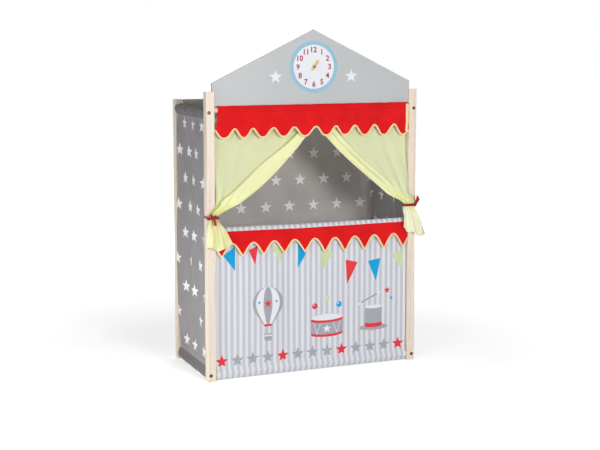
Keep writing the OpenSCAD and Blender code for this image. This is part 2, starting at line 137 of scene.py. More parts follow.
# Places in the frame: centres of the rails and the rod, the gable board's face, the dial's middle
RAIL_Y = -143.5
SIDE_X = 311.5
BACK_Y = 141
VALANCE_Z = 750
COUNTER_Z = 408
BOTTOM_Z = 18
SIDE_Z = 744
BACK_TOP_Z = 758
BACK_LOW_Z = 360
ROD_Y = -136.5
ROD_Z = 722
GABLE_Y = -144
CLOCK_Z = 865

# Wall cloths. A sleeve runs round each rail, with its seam SLEEVE_DEEP and its stitches SEAM_IN
# from the rail's centre. HALF is half a width, and FLAT_DEEP the depth of a flat wall's folds.
SLEEVE_R = 8.95
SLEEVE_DEEP = 18
SEAM_IN = 23
CLOTH_HALF = 293
SIDE_HALF = 126
FLAT_DEEP = 2.2

# Valances. PITCH is one scallop.
VALANCE_HALF = 294.5
SLEEVE_SEAM_Z = 746.5
PITCH = 62

# Curtains. One edge hangs at TRAIL_X beside the post. At the neck a ribbon ties the curtain, in a
# few gathers, and NECK_TOP is from the ribbon's middle to where the free cloth begins.
TRAIL_X = 294.5
NECK_X = 312
NECK_Y = -160.1
NECK_TOP = 4.7
LEFT_TIE_Z = 459
RIGHT_TIE_Z = 464
LEFT_NECK = 20
RIGHT_NECK = 34
GATHERS = 4

# Thin things. SEAM_PROUD lifts a curtain's thread off its cloth, and STAR_DEEP is how far from the
# middle a star's inner corners lie, as a share of its points.
CLOTH_THICK = 0.6
INK_THICK = 0.06
SEAM_PROUD = 0.32
NUMERAL_R = 48
STAR_DEEP = 0.42
FORWARD = (0, -1, 0)


# Materials. A noise texture's Scale counts its patches in a metre.

def start_material(name):
    material = bpy.data.materials.new(name)
    material.use_nodes = True
    return material, material.node_tree, material.node_tree.nodes["Principled BSDF"]


def beech(name, pale, dark, axis, turn=0.0):
    """Beech, planed and clear-lacquered: pale with fine darker flecks along the grain and a soft
    shine. Flecks are 1 mm by 8 mm and the broad streaks 6 mm wide. End grain is darker."""
    material, tree, shader = start_material(name)
    along = Vector([1.0 if a == axis else 0.0 for a in "XYZ"])
    place = add(tree, "TexCoord").outputs["Object"]
    turned = add(tree, "Mapping", {"Vector": place, "Rotation": (0, turn, 0)})
    grain = []
    for lengthways, crossways, detail in ((5.0, 160.0, 4.0), (120.0, 900.0, 2.0)):
        drawn_out = add(tree, "Mapping", {"Vector": turned, "Scale": [lengthways if a else crossways
                                                                      for a in along]})
        grain.append(add(tree, "TexNoise", {"Vector": drawn_out, "Scale": 1.0, "Detail": detail}))
    streaks, flecks = grain
    broad = add(tree, "MapRange", {"Value": streaks, "From Min": 0.3, "From Max": 0.7})
    base = add(tree, "Mix", {0: broad, 6: pale, 7: dark}, data_type="RGBA")
    fleck = add(tree, "MapRange", {"Value": flecks, "From Min": 0.6, "From Max": 0.72,
                                   "To Max": 0.45})
    flecked = add(tree, "Mix", {0: fleck, 6: base, 7: "#b98d5e"}, data_type="RGBA")
    facing = add(tree, "VectorMath", {0: add(tree, "NewGeometry").outputs["Normal"], 1: along},
                 operation="DOT_PRODUCT")
    ends = add(tree, "Math", {0: facing}, operation="ABSOLUTE")
    end = add(tree, "MapRange", {"Value": ends, "From Min": 0.8, "From Max": 0.95, "To Max": 0.6})
    rings = add(tree, "TexWave", {"Vector": place, "Scale": 140.0, "Distortion": 2.0},
                wave_type="RINGS", rings_direction=axis)
    ring = add(tree, "Mix", {0: rings.outputs["Fac"], 6: "#d8bd93", 7: "#c4a273"},
               data_type="RGBA")
    colour = add(tree, "Mix", {0: end, 6: flecked, 7: ring}, data_type="RGBA")
    rough = add(tree, "MapRange", {"Value": streaks, "To Min": 0.38, "To Max": 0.52})
    bump = add(tree, "Bump", {"Strength": 0.25, "Distance": 0.1 * MM, "Height": flecks})
    feed(tree, shader, {"Base Color": colour, "Roughness": rough, "Normal": bump, "IOR": 1.5})
    return material


def printed_board():
    """Hardboard with a printed, satin film on its faces: an even light grey with a slight
    orange-peel sheen, 2 mm from dimple to dimple. The sawn edges are bare brown fibre."""
    material, tree, shader = start_material("printed_satin_board")
    place = add(tree, "TexCoord").outputs["Object"]
    cloud = add(tree, "TexNoise", {"Vector": place, "Scale": 6.0, "Detail": 3.0})
    film = add(tree, "Mix", {0: cloud, 6: "#c6cbcc", 7: "#babdbe"}, data_type="RGBA")
    fuzz = add(tree, "TexNoise", {"Vector": place, "Scale": 700.0, "Detail": 2.0})
    fibre = add(tree, "Mix", {0: fuzz, 6: "#c0a47e", 7: "#9b7c55"}, data_type="RGBA")
    facing = add(tree, "VectorMath", {0: add(tree, "NewGeometry").outputs["Normal"],
                                      1: (0, 1, 0)}, operation="DOT_PRODUCT")
    flat = add(tree, "Math", {0: facing}, operation="ABSOLUTE")
    on_face = add(tree, "Math", {0: flat, 1: 0.7}, operation="GREATER_THAN")
    colour = add(tree, "Mix", {0: on_face, 6: fibre, 7: film}, data_type="RGBA")
    rough = add(tree, "MapRange", {"Value": on_face, "To Min": 0.85, "To Max": 0.42})
    peel = add(tree, "TexNoise", {"Vector": place, "Scale": 500.0})
    bump = add(tree, "Bump", {"Strength": 0.1, "Distance": 0.05 * MM, "Height": peel})
    feed(tree, shader, {"Base Color": colour, "Roughness": rough, "Normal": bump})
    return material


def metal(name, bright, dull, low, high):
    """Turned steel or brass: fine tool marks 0.4 mm apart, duller in patches where handled."""
    material, tree, shader = start_material(name)
    place = add(tree, "TexCoord").outputs["Object"]
    cloud = add(tree, "TexNoise", {"Vector": place, "Scale": 300.0, "Detail": 3.0})
    colour = add(tree, "Mix", {0: cloud, 6: bright, 7: dull}, data_type="RGBA")
    rough = add(tree, "MapRange", {"Value": cloud, "To Min": low, "To Max": high})
    marks = add(tree, "TexNoise", {"Vector": place, "Scale": 2500.0})
    bump = add(tree, "Bump", {"Strength": 0.15, "Distance": 0.05 * MM, "Height": marks})
    feed(tree, shader, {"Base Color": colour, "Roughness": rough, "Normal": bump, "Metallic": 1.0})
    return material


def clouded(tree, flat, scale, pale, dark):
    """Soft patches of two colours, close to each other."""
    cloud = add(tree, "TexNoise", {"Vector": flat, "Scale": scale, "Detail": 4.0})
    share = add(tree, "MapRange", {"Value": cloud, "From Min": 0.3, "From Max": 0.7})
    return add(tree, "Mix", {0: share, 6: pale, 7: dark}, data_type="RGBA")


def plain_dye(pale, dark):
    """Colour of an even dye, a little uneven from washing and handling."""
    return lambda tree, flat: clouded(tree, flat, 14.0, pale, dark)


def double_layer(single, doubled_hem_and_sleeve_shade, deep):
    """Dye that looks brighter where the hem lays the cloth in two layers. deep is painted shade: a
    deeper colour down in the curtains' folds and beside the post, where shade falls. Hem values
    below 0 give this painted shade."""
    def paint(tree, flat):
        hem = add(tree, "Attribute", attribute_name="hem").outputs["Fac"]
        cloud = add(tree, "TexNoise", {"Vector": flat, "Scale": 20.0, "Detail": 3.0})
        share = add(tree, "Math", {0: cloud, 1: 0.16, 2: hem}, operation="MULTIPLY_ADD",
                    use_clamp=True)
        colour = add(tree, "Mix", {0: share, 6: single, 7: doubled_hem_and_sleeve_shade}, data_type="RGBA")
        # Painted shade: the deep colour where the hem value is below 0
        painted_shade = add(tree, "Math", {0: hem, 1: -1}, operation="MULTIPLY", use_clamp=True)
        return add(tree, "Mix", {0: painted_shade, 6: colour, 7: deep}, data_type="RGBA")
    return paint


def striped(pale, dark):
    """Printed stripes along the cloth, 8.5 mm each, with edges 0.6 mm soft."""
    stripe, soft = 8.5 * MM, 0.6 * MM

    def paint(tree, flat):
        across = add(tree, "SeparateXYZ", {0: flat})
        place = add(tree, "Math", {0: across, 1: stripe}, operation="PINGPONG")
        share = add(tree, "MapRange", {"Value": place, "From Min": (stripe - soft) / 2,
                                       "From Max": (stripe + soft) / 2})
        return add(tree, "Mix", {0: share, 6: pale, 7: dark}, data_type="RGBA")
    return paint


def star_grid(tree, flat, corner, rise):
    """1 inside five-pointed stars, 37 mm over their points. They repeat every 79 mm across and
    every rise mm up, and corner is the middle of one."""
    outer, soft = 19.5 * MM, 0.3 * MM
    inner = STAR_DEEP * outer
    tenth = math.pi / 5
    centred = add(tree, "Mapping", {"Vector": flat, "Location": (-corner[0] * MM,
                                                                 -corner[1] * MM, 0)})
    parts = add(tree, "SeparateXYZ", {0: centred})
    x, y = [add(tree, "Math", {0: parts.outputs[part], 1: step / 2, 2: -step / 2},
                operation="WRAP") for part, step in (("X", 79 * MM), ("Y", rise * MM))]
    angle = add(tree, "Math", {0: x, 1: y}, operation="ARCTAN2")
    fold = add(tree, "Math", {0: angle, 1: tenth}, operation="PINGPONG")
    reach = add(tree, "VectorMath", {0: add(tree, "CombineXYZ", {0: x, 1: y})},
                operation="LENGTH")
    sine = add(tree, "Math", {0: fold}, operation="SINE")
    cosine = add(tree, "Math", {0: fold}, operation="COSINE")
    sideways = (outer - inner * math.cos(tenth)) / (inner * math.sin(tenth))
    lean = add(tree, "Math", {0: sine, 1: sideways, 2: cosine}, operation="MULTIPLY_ADD")
    edge = add(tree, "Math", {0: lean, 1: reach}, operation="MULTIPLY")
    return add(tree, "MapRange", {"Value": edge, "From Min": outer + soft,
                                  "From Max": outer - soft})


def starred(ground, shade, doubled_hem_and_sleeve_shade, rails, first, second, rise, bare_from=900):
    """White stars in staggered rows, on a dyed ground. The upper sleeve is a strip of its own, bare
    of stars from bare_from up. In the sleeves round its two rails the cloth is painted darker:
    painted shade for the shade that falls on the sleeves."""
    low, top = rails[0] + SLEEVE_DEEP, rails[1] - SLEEVE_DEEP

    def paint(tree, flat):
        grids = [star_grid(tree, flat, corner, rise) for corner in (first, second)]
        star = add(tree, "Math", {0: grids[0], 1: grids[1]}, operation="MAXIMUM")
        height = add(tree, "SeparateXYZ", {0: flat}).outputs["Y"]
        below = add(tree, "Math", {0: height, 1: bare_from * MM}, operation="LESS_THAN")
        star = add(tree, "Math", {0: star, 1: below}, operation="MULTIPLY")
        centred = add(tree, "Math", {0: height, 1: (low + top) / 2 * MM}, operation="SUBTRACT")
        away = add(tree, "Math", {0: centred}, operation="ABSOLUTE")
        sleeve = add(tree, "Math", {0: away, 1: (top - low) / 2 * MM}, operation="GREATER_THAN")
        dye = clouded(tree, flat, 12.0, ground, shade)
        # Painted shade: the sleeves round the rails take the darker third colour
        dye = add(tree, "Mix", {0: sleeve, 6: dye, 7: doubled_hem_and_sleeve_shade}, data_type="RGBA")
        return add(tree, "Mix", {0: star, 6: dye, 7: "#ffffff"}, data_type="RGBA")
    return paint


def woven(name, paint, thread=1.4, rough=0.85, sheen=0.15, relief=0.12):
    """Plain-woven cloth: a matt surface with a fine over-and-under thread relief. Real threads
    lie 0.3 to 0.5 mm apart, too fine for the picture, so they are drawn thread mm apart."""
    material, tree, shader = start_material(name)
    flat = add(tree, "UVMap", uv_map="flat")
    scale = 2 * math.pi / (20 * thread * MM)
    warp, weft = [add(tree, "TexWave", {"Vector": flat, "Scale": scale}, bands_direction=way)
                  .outputs["Fac"] for way in "XY"]
    weave = add(tree, "Math", {0: warp, 1: weft}, operation="ADD")
    crumple = add(tree, "TexNoise", {"Vector": flat, "Scale": 45.0, "Detail": 3.0})
    soft = add(tree, "Bump", {"Strength": 0.35, "Distance": 1.2 * MM, "Height": crumple})
    bump = add(tree, "Bump", {"Strength": 0.6, "Distance": relief * MM, "Height": weave,
                              "Normal": soft})
    feed(tree, shader, {"Base Color": paint(tree, flat), "Normal": bump, "Roughness": rough,
                        "Sheen Weight": sheen, "Specular IOR Level": 0.25})
    return material


def ink(name, colour):
    """Screen-printed ink or dyed thread: flat colour with a faint mottle where it sank in
    unevenly."""
    material, tree, shader = start_material(name)
    place = add(tree, "TexCoord").outputs["Object"]
    mottle = add(tree, "TexNoise", {"Vector": place, "Scale": 400.0, "Detail": 2.0})
    amount = add(tree, "MapRange", {"Value": mottle, "From Min": 0.35, "From Max": 0.75,
                                    "To Max": 0.03})
    tint = add(tree, "Mix", {0: amount, 6: colour, 7: "#ffffff"}, data_type="RGBA")
    feed(tree, shader, {"Base Color": tint, "Roughness": 0.7, "Specular IOR Level": 0.15})
    return material


post_beech = beech("lacquered_beech_post", "#f8ecdf", "#eddac4", "Z")
rail_beech_x = beech("beech_dowel_across", "#ead8ba", "#d9c19b", "X")
rail_beech_y = beech("beech_dowel_along", "#ead8ba", "#d9c19b", "Y")
hand_beech = beech("beech_clock_hand", "#ecd08c", "#d8b768", "Z", math.radians(-35))
board = printed_board()
bronzed_steel = metal("bronzed_steel", "#84654f", "#634a3a", 0.45, 0.6)
zinc_steel = metal("zinc_plated_steel", "#c4c7ca", "#a4a8ac", 0.25, 0.4)
turned_brass = metal("turned_brass", "#d2b06a", "#b08c48", 0.25, 0.4)
stripe_cotton = woven("striped_cotton", striped("#eceef4", "#cfd1da"))
red_cotton = woven("red_cotton", plain_dye("#f3151b", "#dd0c13"), sheen=0.05)
VOILE = {"thread": 1.2, "rough": 0.7, "relief": 0.08}
# The third colour is painted shade in the curtains' folds and beside the posts.
lime_cloth = woven("lime_voile", double_layer("#e4eabd", "#ffffc4", "#bac657"), **VOILE)
lime_tail = woven("lime_voile_tail", plain_dye("#f8f6c6", "#f1efb4"), **VOILE)
# The right tail's copy of the tail voile, painted paler than the left's: painted light.
right_tail_painted_lighter = woven("lime_voile_painted_lighter", plain_dye("#fdfde6", "#fafad0"), **VOILE)
# One star cotton for the sides and the backdrop, in two copies: the sides' copy is painted darker,
# as painted shade, and the backdrop's copy lighter, as painted light. The third colour of each is
# painted shade in the sleeves.
side_stars_painted_darker = woven("star_cotton_side_painted_darker",
                   starred("#a39fa1", "#989497", "#7d797a", (BOTTOM_Z, SIDE_Z), (11.5, 703),
                           (-28, 624), 158))
back_stars_painted_lighter = woven("star_cotton_back_painted_lighter",
                   starred("#cbc8c5", "#bebab6", "#a9a6a3", (BACK_LOW_Z, BACK_TOP_Z), (44, 435),
                           (-1, 515), 160, 738))
cream_tape = woven("cream_binding_tape", plain_dye("#ffebb8", "#fbe2a8"), thread=1.0)
satin = woven("red_satin_ribbon", plain_dye("#a80c0e", "#8c080a"), thread=0.8, rough=0.35,
              sheen=0.1, relief=0.04)
ink_red = ink("red_ink", "#f03a42")
ink_grey = ink("grey_ink", "#adb0bb")
ink_blue = ink("blue_ink", "#00a8e6")
ink_green = ink("green_ink", "#d8e4b2")
ink_white = ink("white_ink", "#f3f5fa")
ink_pale_blue = ink("pale_blue_ink", "#9dcae0")
ink_crimson = ink("crimson_ink", "#b42a48")
thread_white = ink("sewing_thread_pale", "#e9e6df")
thread_red = ink("sewing_thread_red", "#a80f16")
thread_lime = ink("sewing_thread_lime", "#c6cd95")

finishes = {
    post_beech: ["front_post_left", "front_post_right", "rear_post_left", "rear_post_right"],
    rail_beech_x: ["valance_rail", "curtain_rod", "counter_rail", "front_bottom_rail",
                   "rear_rail_top", "rear_rail_low"],
    rail_beech_y: ["side_rail_top_left", "side_rail_top_right", "side_rail_bottom_left",
                   "side_rail_bottom_right"],
    hand_beech: ["clock_hand"],
    board: ["gable_board"],
    bronzed_steel: ["clock_screw", "front_bolts", "rear_bolts"],
    zinc_steel: ["clock_washers", "clock_nut", "rear_rail_screws"],
    turned_brass: ["rail_inserts"],
}
for finish, names in finishes.items():
    for name in names:
        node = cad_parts[name]
        node.data.materials.clear()
        node.data.materials.append(finish)


# Sheets of cloth

def mesh_piece(name, points, faces, material, slot):
    mesh = bpy.data.meshes.new(name)
    mesh.from_pydata([Vector(p) * MM for p in points], [], faces)
    mesh.materials.append(material)
    piece = bpy.data.objects.new(name, mesh)
    scene.collection.objects.link(piece)
    return piece


def flat_map(piece, spot):
    """Gives a piece the flat material's own coordinates, in mm, from each point's number."""
    layer = piece.data.uv_layers.new(name="flat")
    for loop in piece.data.loops:
        layer.data[loop.index].uv = Vector(spot(loop.vertex_index)) * MM


def cloth(name, rows, flats, material, slot, thick=CLOTH_THICK, hems=None, closed=False):
    """Sheet through rows of points, with the flat cloth's own coordinates as its UVs."""
    count, wide = len(rows), len(rows[0])
    faces = []
    for i in range(count - 1):
        for j in range(wide if closed else wide - 1):
            k = (j + 1) % wide
            faces.append((i * wide + j, (i + 1) * wide + j, (i + 1) * wide + k, i * wide + k))
    piece = mesh_piece(name, [p for row in rows for p in row], faces, material, slot)
    spots = [f for row in flats for f in row]
    flat_map(piece, lambda i: spots[i])
    if hems:
        mark = piece.data.attributes.new("hem", "FLOAT", "POINT")
        mark.data.foreach_set("value", [h for row in hems for h in row])
    thicken(piece, thick)
    smooth(piece)
    return piece


def lay_out(levels, columns, point, side=1):
    """Tables of what point(level, column) gives: each point's place, its spot on the flat cloth,
    and its hem value if it has one. On the left side the rows are turned round, so that the faces
    still point outwards."""
    grid = [[point(level, column) for column in columns][::side] for level in levels]
    return [[[cell[k] for cell in row] for row in grid] for k in range(len(grid[0][0]))]


def arc(radius, start, end, count):
    """Points (out, up) on a circle, with angles in degrees from the outward side."""
    return [(radius * math.cos(math.radians(d)), radius * math.sin(math.radians(d)))
            for d in spread(start, end, count)]


def sleeved_profile(top, low):
    """Cloth from its seam behind the upper rail, over it, down, and round the lower rail. Each
    point is (out, z), with out towards the face that is seen."""
    half, seam, tip = 0.45, SLEEVE_DEEP, 16
    return ([(-half, top - seam)]
            + [(o, top + z) for o, z in arc(SLEEVE_R, 210, -30, 20)]
            + [(half, top - seam)]
            + [(0.0, z) for z in spread(top - SEAM_IN, low + SEAM_IN, 90)]
            + [(half, low + seam)]
            + [(o, low + z) for o, z in arc(SLEEVE_R, 30, -33, 8)]
            + [(3.2, low - tip + 3.2), (1.2, low - tip + 0.4), (-1.2, low - tip + 0.4),
               (-3.2, low - tip + 3.2)]
            + [(o, low + z) for o, z in arc(SLEEVE_R, -147, -210, 8)]
            + [(-half, low + seam)])


def lengths(line):
    """Distance along a line at each of its points."""
    out = [0.0]
    for a, b in zip(line, line[1:]):
        out.append(out[-1] + math.dist(a, b))
    return out


# A cloth between two rails at heights top and low. place(x, out, z) puts a point of it in the
# frame, its long folds are deep and wide, and its seed picks its own waves.
Wall = namedtuple("Wall", "top low half place deep wide seed slot")


def hanging_wave(x, z, wall):
    """How far a wall cloth stands out of its plane: long soft folds, finer ones between them, and
    short gathers below and above its rails."""
    top, low, seed = wall.top, wall.low, wall.seed
    free = ease(z, low + 16, low + 75) * ease(-z, -(top - 16), -(top - 75))
    fine = 0.9 * mix(0.35, 1.0, free)
    gathers = 0.5 + 0.45 * max(0, wall.deep - FLAT_DEEP) * ease(z, top - 150, top - 60)
    return (wall.deep * free * ripple(x / wall.wide, z / 500, seed)
            + fine * ripple(x / 28, z / 260, seed + 3)
            + gathers * (1 - free) * ripple(x / 9, z / 60, seed + 6))


def wall_cloth(name, wall, material, crumple=0.4, header=0.0):
    """crumple is how far the upper sleeve puffs out, and header how far its loose cloth is pushed
    up above the rail."""
    top = wall.top
    line = sleeved_profile(top, wall.low)
    run = lengths(line)

    def point(level, x):
        (out, z), s = level
        hung = hanging_wave(x, z, wall)
        if abs(out) < 0.2:
            return wall.place(x, out + hung, z), (x, z)
        hung = max(-0.15, 0.3 * hung) * (1 if out > 0 else -1)
        crease = max(0, 0.3 + ripple(x / 10, s / 12, wall.seed))
        puff = crumple * crease * ease(z, top - 17, top - 6)
        ruffle = (1 + 0.4 * ease(-x, 0, 260)
                  + 0.07 * math.sin(2 * math.pi * x / 17 + ripple(x / 40, 0, wall.seed)))
        lift = (puff + header * ruffle) * max(0, z - top) / 9
        return (wall.place(x, out + hung + puff * out / 9, z + lift),
                (x, top - seam_run(run, s, line)))

    rows, flats = lay_out(list(zip(line, run)),
                          spread(-wall.half, wall.half, round(wall.half / 1.9)), point)
    return cloth(name, rows, flats, material, wall.slot), run[-1]


def seam_run(run, s, line):
    """Distance below the upper rail at which the flat cloth lies, for a point s along it."""
    first = next(i for i, (out, _) in enumerate(line) if out == 0.0)
    return (line[0][1] - line[first][1]) + (s - run[first]) + SLEEVE_DEEP


def front_place(x, out, z):
    return (x, RAIL_Y - out, z)


def back_place(x, out, z):
    return (x, BACK_Y - out, z)


def rear_fold(y, z):
    """A side cloth has one firm long fold just before its rear edge."""
    return 4.2 * ease(y, 80, 108) * ease(-y, -125, -110) * ease(z, 45, 110) * ease(-z, -728, -680)


def left_place(y, out, z):
    x, y, z = right_place(-y, out, z)
    return (-x, y, z)


def right_place(y, out, z):
    return (SIDE_X + out + rear_fold(y, z), y, z)


front_wall = Wall(top=COUNTER_Z, low=BOTTOM_Z, half=CLOTH_HALF, place=front_place,
                  deep=FLAT_DEEP, wide=70, seed=1.0, slot="stripe_cloth")
back_wall = Wall(top=BACK_TOP_Z, low=BACK_LOW_Z, half=CLOTH_HALF, place=back_place,
                 deep=FLAT_DEEP, wide=70, seed=21.0, slot="star_cloth")
left_wall = Wall(top=SIDE_Z, low=BOTTOM_Z, half=SIDE_HALF, place=left_place,
                 deep=6.0, wide=34, seed=31.0, slot="star_cloth")
right_wall = left_wall._replace(place=right_place, seed=41.0)

front_cloth, front_run = wall_cloth("front_cloth_sheet", front_wall, stripe_cotton, header=7.5)
back_cloth, back_run = wall_cloth("backdrop_sheet", back_wall, back_stars_painted_lighter)
left_cloth, side_run = wall_cloth("side_cloth_left_sheet", left_wall, side_stars_painted_darker, 3.6)
right_cloth, side_run = wall_cloth("side_cloth_right_sheet", right_wall, side_stars_painted_darker, 3.6)


def flap_line(hung):
    """(x, y) from the backdrop's edge, round the rear post and in behind the side cloth."""
    return [(280.5, BACK_Y - 0.7 - hung), (284.5, 139.2 - 0.6 * hung), (288.3, 136.9),
            (291.3, 134.2), (293.5, 131.2), (295.0, 128.7), (297.0, 127.1), (301, 126.8),
            (308, 126.9), (316.5, 127.3)]


def corner_flap(name, side, seed):
    """Edge of the backdrop, drawn forward round the rear post and tucked behind the side cloth."""
    def point(v, i):
        z_in, z_out = mix(731, 383, v), mix(731, 364, v)
        line = flap_line(hanging_wave(side * 281, z_in, back_wall))
        x, y = line[i]
        z = mix(z_in, z_out, ease(x, 289, 293.5))
        bulge = 0.5 * ease(i, 0, 3) * ease(-i, -9, -5) * ripple(z / 27, i / 4, seed)
        return (side * (x - bulge), y - abs(bulge), z), (side * (281 + lengths(line)[i]), z)

    columns = range(len(flap_line(0)))
    return cloth(name, *lay_out(spread(0, 1, 74), columns, point, side), back_stars_painted_lighter, "star_cloth")


flap_left = corner_flap("backdrop_flap_left", -1, 22.0)
flap_right = corner_flap("backdrop_flap_right", 1, 23.0)


# Valances

def scallop(x, sharp):
    """0 at a lobe's tip and 1 at an arch's crown."""
    return ((1 + wave(x / PITCH)) / 2) ** sharp


def top_hem(x):
    """Height of the top valance's edge. Its lobes hang a little aside near the left end and just
    right of the middle."""
    uneven = 11 * ease(-x, 170, 250) + 5 * swell(x, 25, 45)
    tips = mix(674.5, 669.5, ease(x, 60, 260))
    return mix(tips, 699.5, scallop(x - uneven, 1.3))


def counter_hem(x):
    """Height of the counter valance's edge, which hangs lower at its right."""
    share = ease(-x, -70, 40)
    return mix(mix(343.5, 350, share), mix(381.5, 384, share), scallop(x, 0.6))


def counter_top(x):
    """Upper edge of the counter valance, which is sewn on just below the sleeve's top."""
    return 414.2 + 3.3 * ease(-x, 0, 260)


def top_valance_skirt(x, z):
    """How far the top valance hangs in front of its rail's centre."""
    fall = ease(-z, -746, -680)
    crease = 1.6 * swell(z, SLEEVE_SEAM_Z, 2.4)
    return (SLEEVE_R - crease - 1.3 * fall * (1 - wave(x / PITCH))
            + 1.5 * fall * ripple(x / 17, z / 130, 51) + 1.2 * fall * ripple(x / 45, z / 200, 52))


def top_valance_end(z):
    """The left end of the sleeve is cut in, so that the rail shows beside it."""
    return mix(-VALANCE_HALF, 8 - VALANCE_HALF, ease(z, 672, 742))


def top_valance():
    """Its sleeve puffs up in front of the gable's foot, so no gap shows between the two."""
    loop = [(7.9, 733.6)] + [(o, VALANCE_Z + z) for o, z in arc(SLEEVE_R, 235.6, 0, 30)]
    run = lengths(loop)

    def on_sleeve(level, c):
        (out, z), s = level
        x = mix(top_valance_end(z), VALANCE_HALF, c)
        turn = math.degrees(math.atan2(z - VALANCE_Z, out))
        grown = 1 + swell(turn, 74, 15) * (2.9 + 0.4 * ripple(x / 21, 0, 54)) / SLEEVE_R
        crumple = 0.15 * (1 + ripple(x / 8, z / 40, 53))
        return ((x, RAIL_Y - out * grown - crumple, VALANCE_Z + (z - VALANCE_Z) * grown),
                (x, -s))

    def on_skirt(v, c):
        z = mix(VALANCE_Z, top_hem(mix(-VALANCE_HALF, VALANCE_HALF, c)), v)
        x = mix(top_valance_end(z), VALANCE_HALF, c)
        return (x, RAIL_Y - top_valance_skirt(x, z), z), (x, -run[-1] - (VALANCE_Z - z))

    columns = spread(0, 1, 310)
    rows, flats = [sleeve + skirt for sleeve, skirt in
                   zip(lay_out(list(zip(loop, run)), columns, on_sleeve),
                       lay_out(spread(0, 1, 44)[1:], columns, on_skirt))]
    return cloth("top_valance_sheet", rows, flats, red_cotton, "red_cloth")


def counter_valance_out(x, z):
    """How far the counter valance stands in front of its rail's centre."""
    fall = ease(-z, -409, -350)
    over_sleeve = 9.75 - 0.3 * ease(z, 409, 418) + 0.7 * ease(-z, -409, -398)
    lobes = 1.1 * (1 - wave(x / PITCH)) / 2
    return over_sleeve + fall * (lobes + 0.4 * ripple(x / 19, z / 90, 56))


def counter_valance():
    def point(v, x):
        z = mix(counter_top(x), counter_hem(x), v)
        return (x, RAIL_Y - counter_valance_out(x, z), z), (x, z)

    columns = spread(-VALANCE_HALF, VALANCE_HALF, 390)
    return cloth("counter_valance_sheet", *lay_out(spread(0, 1, 26), columns, point), red_cotton,
                 "red_cloth")


def face_outward(piece):
    """Turns all the faces of a closed mesh outwards."""
    work = bmesh.new()
    work.from_mesh(piece.data)
    bmesh.ops.recalc_face_normals(work, faces=work.faces)
    work.to_mesh(piece.data)
    work.free()


def binding(name, line, wide=5.0, shift=0.0):
    """Folded tape sewn over an edge of a cloth that faces forward: an oval swept along it."""
    ring, deep = 8, 1.9
    facing = Vector(FORWARD)
    points, faces = [], []
    for i, p in enumerate(line):
        before, after = Vector(line[max(0, i - 1)]), Vector(line[min(len(line) - 1, i + 1)])
        beside = (after - before).normalized().cross(facing).normalized()
        for k in range(ring):
            turn = 2 * math.pi * k / ring
            points.append(Vector(p) + beside * (shift + wide / 2 * math.cos(turn))
                          + facing * deep / 2 * math.sin(turn))
    for i in range(0, (len(line) - 1) * ring, ring):
        for k in range(ring):
            n = (k + 1) % ring
            faces.append((i + k, i + n, i + ring + n, i + ring + k))
    last = (len(line) - 1) * ring
    faces += [tuple(range(ring)), tuple(last + k for k in reversed(range(ring)))]
    piece = mesh_piece(name, points, faces, cream_tape, "red_cloth")
    face_outward(piece)
    run = lengths(line)
    flat_map(piece, lambda i: (run[i // ring], i % ring * 1.5))
    smooth(piece)
    return piece


def stitches(name, line, facing, material, slot):
    """Lockstitches along a line: one small bar of thread for each."""
    pitch, long, wide, sunk, proud = 3.2, 2.2, 0.55, 0.2, 0.3
    run = lengths(line)
    out = Vector(facing)
    points, faces = [], []
    place, spot = pitch / 2, 0
    while place < run[-1]:
        while run[spot + 1] < place:
            spot += 1
        share = (place - run[spot]) / (run[spot + 1] - run[spot])
        a, b = Vector(line[spot]), Vector(line[spot + 1])
        way = (b - a).normalized()
        side = way.cross(out).normalized()
        middle = a.lerp(b, share)
        first = len(points)
        for along in (-long / 2, long / 2):
            points += [middle + way * along + side * wide / 2 - out * sunk,
                       middle + way * along - side * wide / 2 - out * sunk,
                       middle + way * along * 0.6 - side * wide / 4 + out * proud,
                       middle + way * along * 0.6 + side * wide / 4 + out * proud]
        faces += [[first + k for k in f] for f in
                  ((0, 1, 2, 3), (7, 6, 5, 4), (0, 4, 5, 1), (1, 5, 6, 2), (2, 6, 7, 3),
                   (3, 7, 4, 0))]
        place += pitch
    piece = mesh_piece(name, points, faces, material, slot)
    face_outward(piece)
    return piece


top_valance_cloth = top_valance()
counter_valance_cloth = counter_valance()
hem_line = [(x, RAIL_Y - top_valance_skirt(x, top_hem(x)), top_hem(x))
            for x in spread(-VALANCE_HALF + 0.5, VALANCE_HALF, 390)]
top_binding = binding("top_valance_binding", hem_line, shift=1.0)
edge_line = [(290.3 + 0.7 * ripple(z / 30, 0, 55), RAIL_Y - top_valance_skirt(290.5, z) - 0.3, z)
             for z in spread(top_hem(VALANCE_HALF) - 4.5, 757, 30)]
edge_binding = binding("top_valance_edge_binding", edge_line, wide=9.0)
counter_line = [(x, RAIL_Y - counter_valance_out(x, counter_hem(x)), counter_hem(x))
                for x in spread(-VALANCE_HALF + 0.5, VALANCE_HALF - 0.5, 390)]
counter_binding = binding("counter_valance_binding", counter_line, shift=1.0)


# Curtains: gathered on the rod, drawn to the posts and tied

def trail_at(z, tie_z):
    """How far out the curtain's edge at the post hangs, which the tie draws round the post."""
    return mix(TRAIL_X, NECK_X, ease(tie_z + 60 - z, 22, 50))


def drawn_y(z):
    """The curtain hangs below its rod and is drawn forward to its tie."""
    return mix(ROD_Y, NECK_Y, ease(519 - z, -105, 5))


